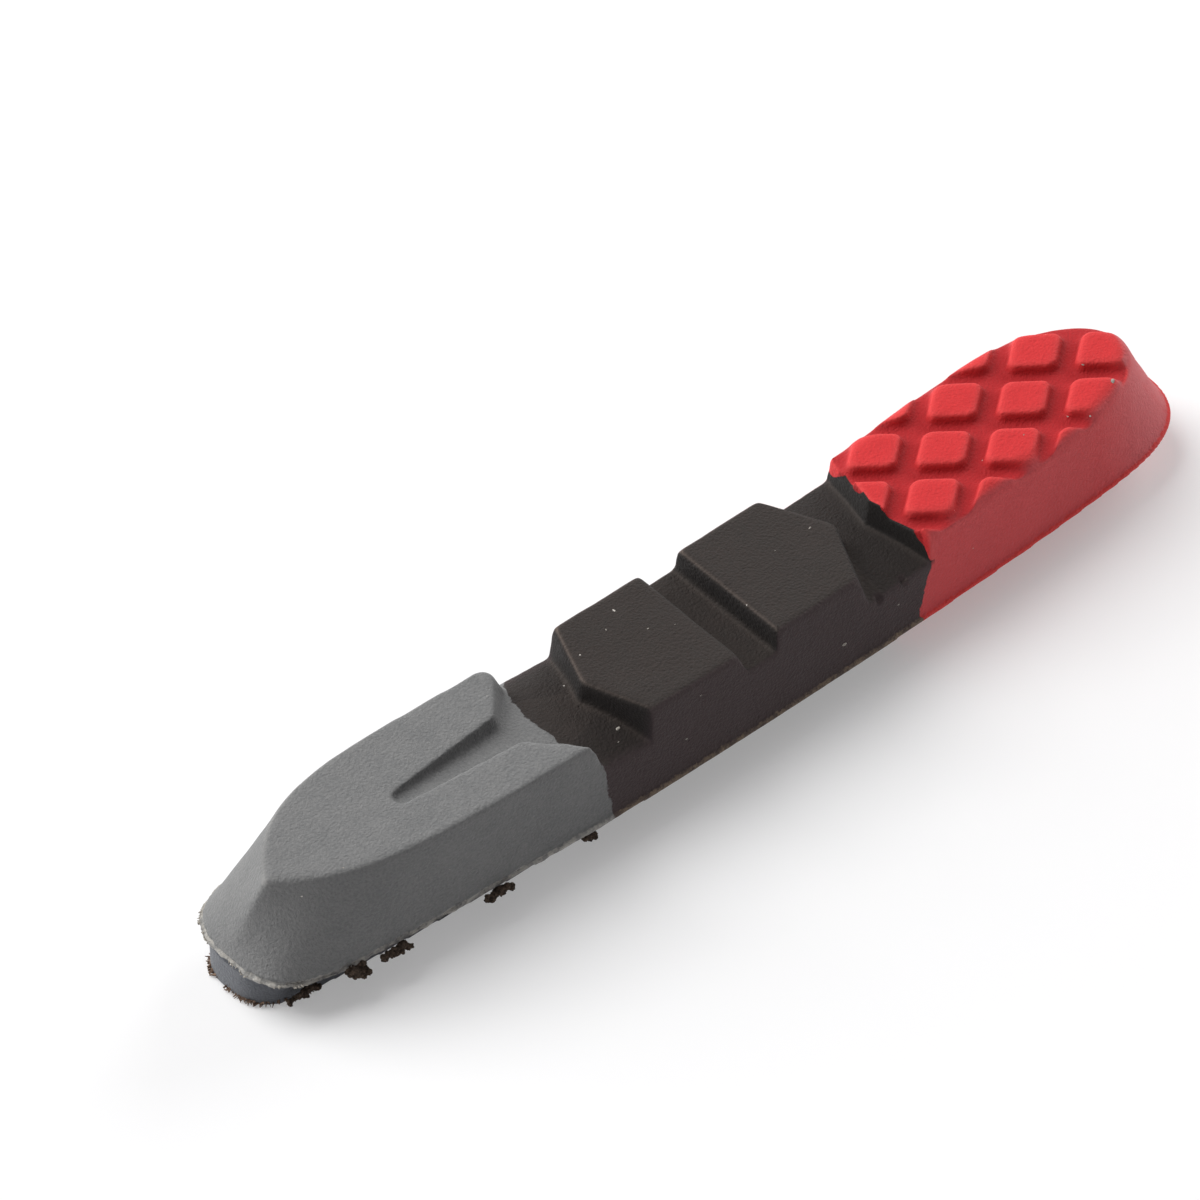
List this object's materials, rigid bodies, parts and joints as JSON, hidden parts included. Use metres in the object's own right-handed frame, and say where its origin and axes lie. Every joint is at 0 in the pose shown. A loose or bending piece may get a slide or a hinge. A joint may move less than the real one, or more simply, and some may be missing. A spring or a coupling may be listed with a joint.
{
  "type": "bicycle rim brake pad",
  "caption": "Bowed rubber insert for a cartridge rim brake shoe: pointed grey nose, grooved black middle, red tail with a diamond lattice, and a back rail with a pin notch.",
  "frame": {"origin": "centre of the bounding box in plan, on the underside of the back rail", "axes": "+X along the pad from the pointed nose to the lattice tail, +Y to the hollow side of the bow, +Z from the back rail to the rubbing face"},
  "size_m": [0.072, 0.0112, 0.0089],
  "materials": {
    "grey_rubber": "matte moulded rubber, mid grey",
    "black_rubber": "matte moulded rubber, warm black",
    "red_rubber": "matte moulded rubber, red, with a faint bloom on the side walls"
  },
  "bodies": {
    "root": {"nose_compound": "grey_rubber", "middle_compound": "black_rubber", "tail_compound": "red_rubber"}
  },
  "joints": []
}
